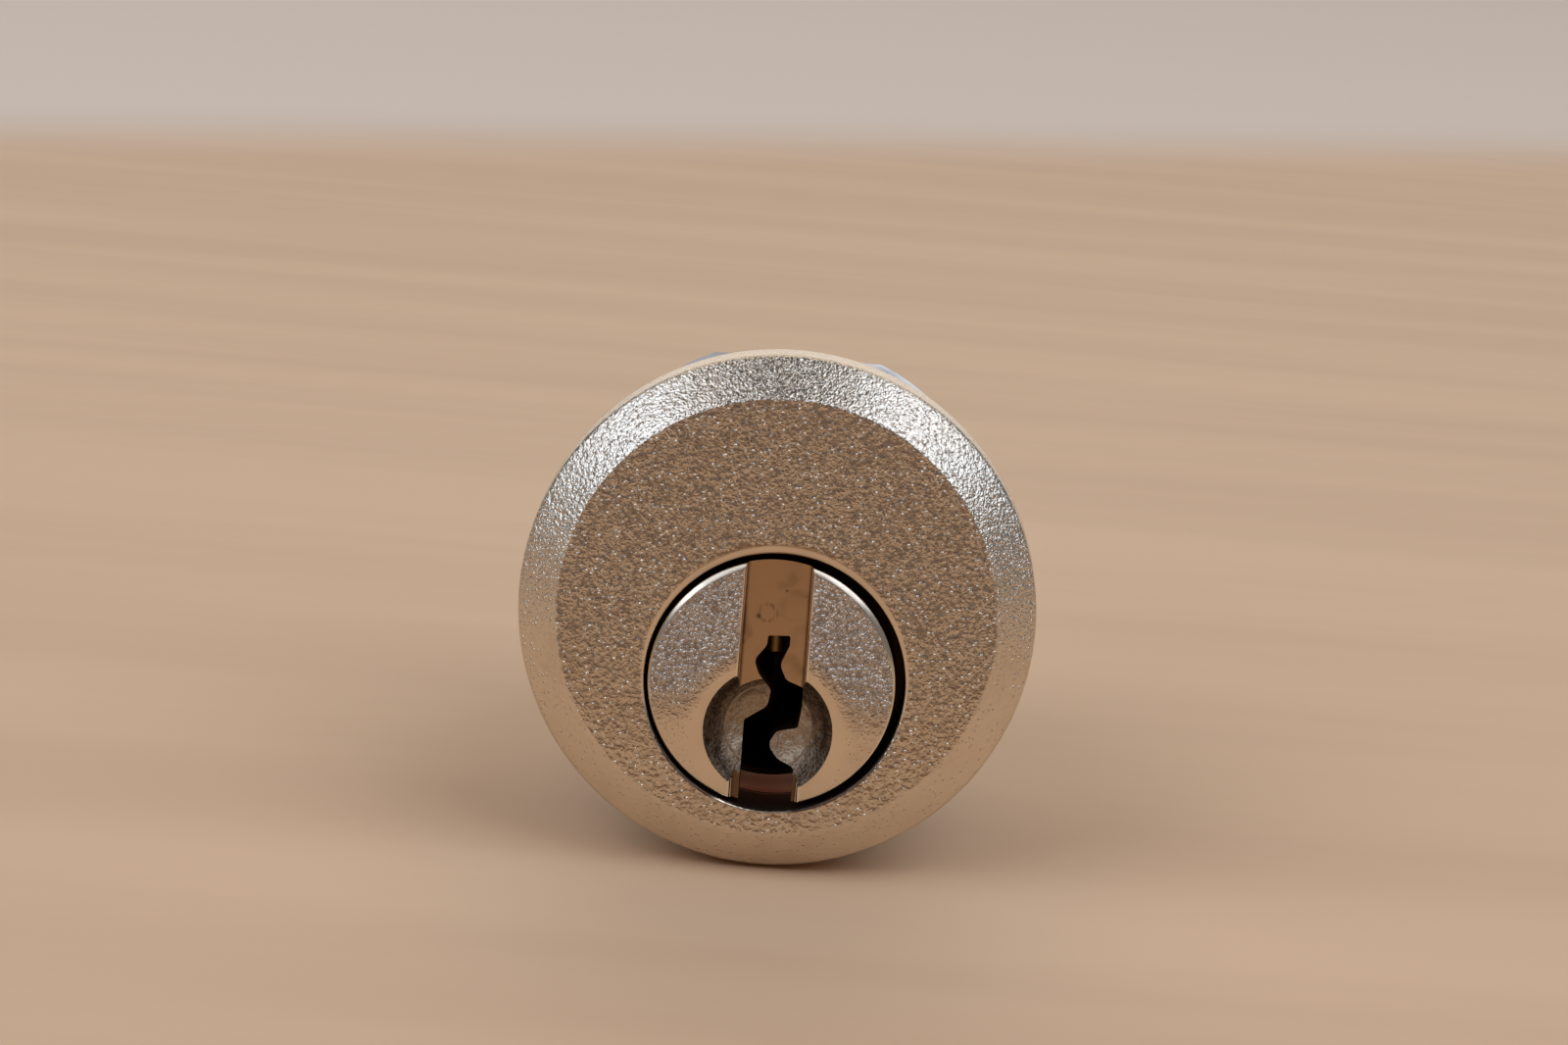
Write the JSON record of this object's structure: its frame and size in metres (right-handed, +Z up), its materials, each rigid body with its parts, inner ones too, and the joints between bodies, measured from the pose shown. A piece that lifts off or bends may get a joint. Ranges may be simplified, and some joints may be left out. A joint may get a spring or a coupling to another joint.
{
  "type": "tool cabinet lock",
  "caption": "Nickel-plated round pin tumbler cam lock with a bevelled head, an offset plug, a threaded barrel with a flat, and a half-turn cam at its tail.",
  "frame": {"origin": "on the barrel's axis, in the plane of the head's back face, which seats on the panel", "axes": "+Y along the barrel, from the face to the cam; +Z up, towards the flat and the pin stacks; the face looks towards -Y"},
  "size_m": [0.0254, 0.0274, 0.0254],
  "materials": {
    "shell_nickel": "cast, bright nickel plated over its pebbled skin",
    "plug_nickel": "nickel plated, lightly pebbled face, machined slot",
    "bare_brass": "turned",
    "spring_steel": "bright drawn",
    "plain_steel": "ground",
    "zinc_steel": "zinc plated"
  },
  "bodies": {
    "cylinder": {"cylinder_shell": "shell_nickel", "chamber_cover": "bare_brass", "stop_pin": "plain_steel", "pin_spring_1": "spring_steel", "pin_spring_2": "spring_steel", "pin_spring_3": "spring_steel", "pin_spring_4": "spring_steel"},
    "plug": {"plug": "plug_nickel", "plug_clip": "spring_steel", "stop_washer": "zinc_steel", "cam": "zinc_steel", "cam_washer": "zinc_steel", "cam_screw": "zinc_steel"},
    "key_pin_1": {"key_pin_1": "bare_brass"},
    "key_pin_2": {"key_pin_2": "bare_brass"},
    "key_pin_3": {"key_pin_3": "bare_brass"},
    "key_pin_4": {"key_pin_4": "bare_brass"},
    "driver_pin_1": {"driver_pin_1": "bare_brass"},
    "driver_pin_2": {"driver_pin_2": "bare_brass"},
    "driver_pin_3": {"driver_pin_3": "bare_brass"},
    "driver_pin_4": {"driver_pin_4": "bare_brass"}
  },
  "joints": [
    {"name": "plug_turn", "type": "hinge", "parent": "cylinder", "child": "plug", "pos_m": [0, 0, -0.0033], "axis": [0, 1, 0], "range_deg": [0, 180]},
    {"name": "key_pin_1_slide", "type": "slide", "parent": "plug", "child": "key_pin_1", "axis": [0, 0, 1], "range_m": [-0.0001, 0]},
    {"name": "key_pin_2_slide", "type": "slide", "parent": "plug", "child": "key_pin_2", "axis": [0, 0, 1], "range_m": [-0.0008, 0]},
    {"name": "key_pin_3_slide", "type": "slide", "parent": "plug", "child": "key_pin_3", "axis": [0, 0, 1], "range_m": [-0.00045, 0]},
    {"name": "key_pin_4_slide", "type": "slide", "parent": "plug", "child": "key_pin_4", "axis": [0, 0, 1], "range_m": [-0.00115, 0]},
    {"name": "driver_pin_1_lift", "type": "slide", "parent": "cylinder", "child": "driver_pin_1", "axis": [0, 0, 1], "range_m": [0, 0.002], "stiffness_N_per_m": 100, "deforming": ["pin_spring_1"]},
    {"name": "driver_pin_2_lift", "type": "slide", "parent": "cylinder", "child": "driver_pin_2", "axis": [0, 0, 1], "range_m": [0, 0.002], "stiffness_N_per_m": 100, "deforming": ["pin_spring_2"]},
    {"name": "driver_pin_3_lift", "type": "slide", "parent": "cylinder", "child": "driver_pin_3", "axis": [0, 0, 1], "range_m": [0, 0.002], "stiffness_N_per_m": 100, "deforming": ["pin_spring_3"]},
    {"name": "driver_pin_4_lift", "type": "slide", "parent": "cylinder", "child": "driver_pin_4", "axis": [0, 0, 1], "range_m": [0, 0.002], "stiffness_N_per_m": 100, "deforming": ["pin_spring_4"]}
  ]
}
